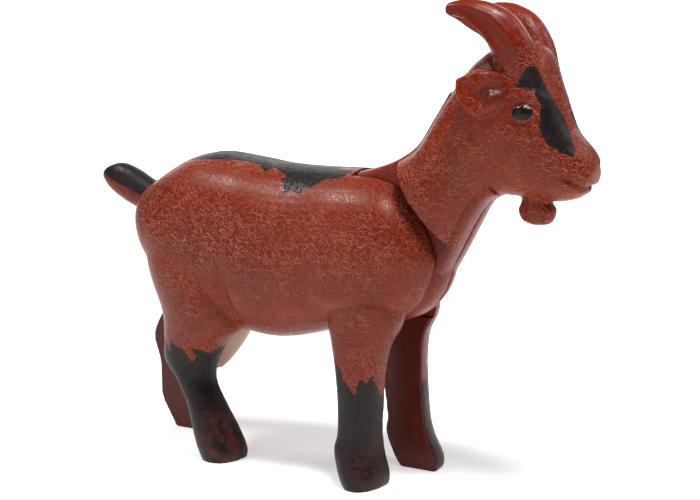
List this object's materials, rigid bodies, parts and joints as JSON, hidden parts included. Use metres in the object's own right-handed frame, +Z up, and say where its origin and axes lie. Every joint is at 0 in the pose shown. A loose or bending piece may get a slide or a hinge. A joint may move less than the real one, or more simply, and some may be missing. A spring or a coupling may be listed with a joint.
{
  "type": "toy goat figure",
  "caption": "Small moulded plastic toy goat on four legs, with a head and neck that nod down on a pivot between its shoulders.",
  "frame": {"origin": "on the ground, under the middle of the whole goat's box", "axes": "+X forward to the nose, +Y to the goat's left, +Z up"},
  "size_m": [0.0708, 0.02, 0.0584],
  "materials": {
    "brown_coat": "satin brown plastic with fine moulded hair and black painted markings",
    "head_coat": "satin brown plastic with fine moulded hair and black painted markings",
    "tail_plastic": "smooth brown plastic painted black on top",
    "udder_plastic": "smooth beige plastic"
  },
  "bodies": {
    "torso": {"body_shell_right": "brown_coat", "body_shell_left": "brown_coat", "tail": "tail_plastic", "udder": "udder_plastic"},
    "head_and_neck": {"head_shell_right": "head_coat", "head_shell_left": "head_coat"}
  },
  "joints": [
    {"name": "neck_nod", "type": "hinge", "parent": "torso", "child": "head_and_neck", "pos_m": [0.0096, 0, 0.0281], "axis": [0, 1, 0], "range_deg": [0, 65]}
  ]
}
